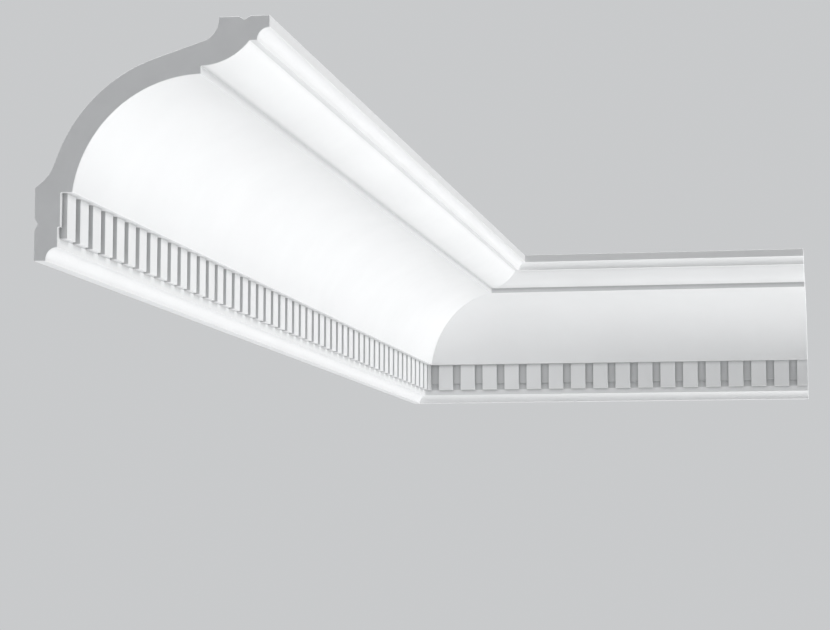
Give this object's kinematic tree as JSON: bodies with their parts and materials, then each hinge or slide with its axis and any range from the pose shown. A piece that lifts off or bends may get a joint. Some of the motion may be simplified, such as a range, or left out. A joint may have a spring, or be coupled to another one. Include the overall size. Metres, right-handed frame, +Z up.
{
  "type": "dentil cornice moulding",
  "caption": "Coved cornice moulding with a row of dentils, a long run and a short return mitred round an inside corner of a room.",
  "frame": {"origin": "on the long run's wall face, halfway along the run and 9 mm above the bottom edge", "axes": "+Z up; +X out from the wall that the long run is fixed to; +Y along the long run towards the room's corner, where the return run turns off along +X"},
  "size_m": [0.4187, 1.207, 0.14],
  "materials": {
    "white_polymer": "satin white, factory primed, fine-grained grey where it is sawn"
  },
  "bodies": {
    "root": {"cornice_long_run": "white_polymer", "cornice_return_run": "white_polymer"}
  },
  "joints": []
}
